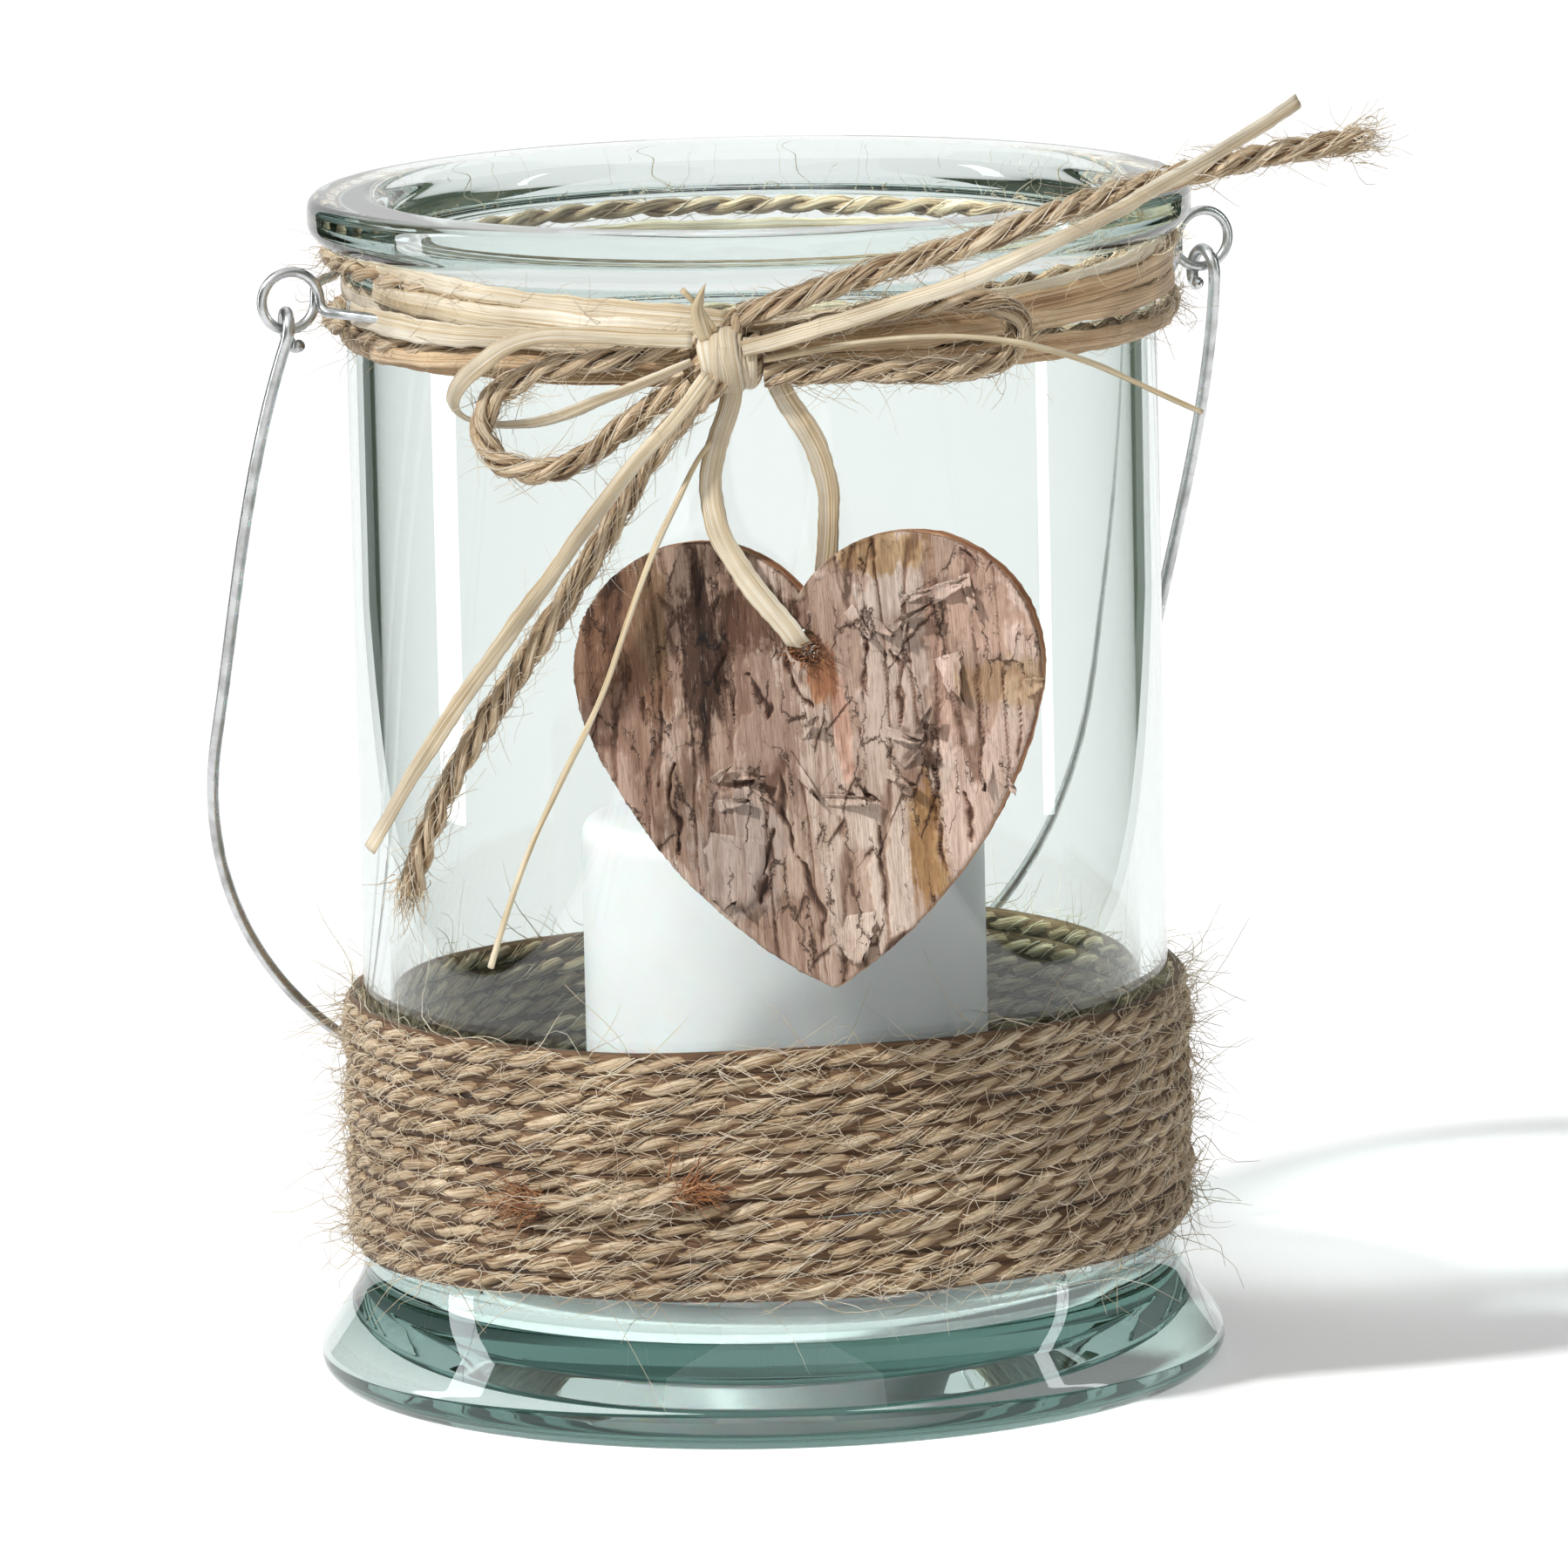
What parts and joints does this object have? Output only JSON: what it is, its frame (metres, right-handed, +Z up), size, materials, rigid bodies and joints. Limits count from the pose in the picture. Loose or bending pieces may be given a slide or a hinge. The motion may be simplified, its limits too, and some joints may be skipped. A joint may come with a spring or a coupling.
{
  "type": "jar lantern",
  "caption": "Straight glass jar lantern with a flared foot, a candle, a wire bail, a twine band, a twine and raffia bow and a hanging bark heart.",
  "frame": {"origin": "on the jar's axis, at the plane that the foot stands on", "axes": "+Z up along the jar, -Y towards the bow and heart, +X to the right seen from the front"},
  "size_m": [0.172, 0.1487, 0.1943],
  "materials": {
    "glass": "clear, faint green",
    "wire": "bright zinc",
    "jute": "hairy twisted fibre",
    "raffia": "dry, creased",
    "wax": "smooth wax",
    "wick": "plain cotton",
    "wood": "raw edge",
    "bark": "rough bark"
  },
  "bodies": {
    "jar": {"glass_jar": "glass", "neck_hoop": "wire", "band_twine": "jute", "band_twine_end": "jute", "neck_twine_upper": "jute", "neck_twine_lower": "jute", "neck_raffia_upper": "raffia", "neck_raffia_lower": "raffia", "bow_knot": "jute", "bow_loop_left": "jute", "bow_loop_right": "jute", "bow_tail_left": "jute", "bow_tail_right": "jute", "raffia_loop_left": "raffia", "raffia_tail_left": "raffia", "raffia_tail_right": "raffia", "raffia_sprig": "raffia", "raffia_stub": "raffia"},
    "bail": {"bail_handle": "wire"},
    "candle": {"candle": "wax", "candle_wick": "wick"},
    "pendant": {"pendant_sling": "raffia", "sling_tail": "raffia"},
    "heart": {"heart_core": "wood", "heart_bark": "bark"}
  },
  "joints": [
    {"name": "bail_swing", "type": "hinge", "parent": "jar", "child": "bail", "pos_m": [0, 0, 0.1603], "axis": [0.9336, 0.3584, 0], "range_deg": [0, 155]},
    {"name": "candle_lift", "type": "slide", "parent": "jar", "child": "candle", "axis": [0, 0, 1], "range_m": [0, 0.19]},
    {"name": "pendant_swing", "type": "hinge", "parent": "jar", "child": "pendant", "pos_m": [0, -0.0679, 0.1547], "axis": [-1, 0, 0], "range_deg": [0, 70]},
    {"name": "heart_sway", "type": "hinge", "parent": "pendant", "child": "heart", "pos_m": [0.007, -0.0673, 0.1185], "axis": [-0.2588, -0.9659, 0], "range_deg": [-12, 12]}
  ]
}
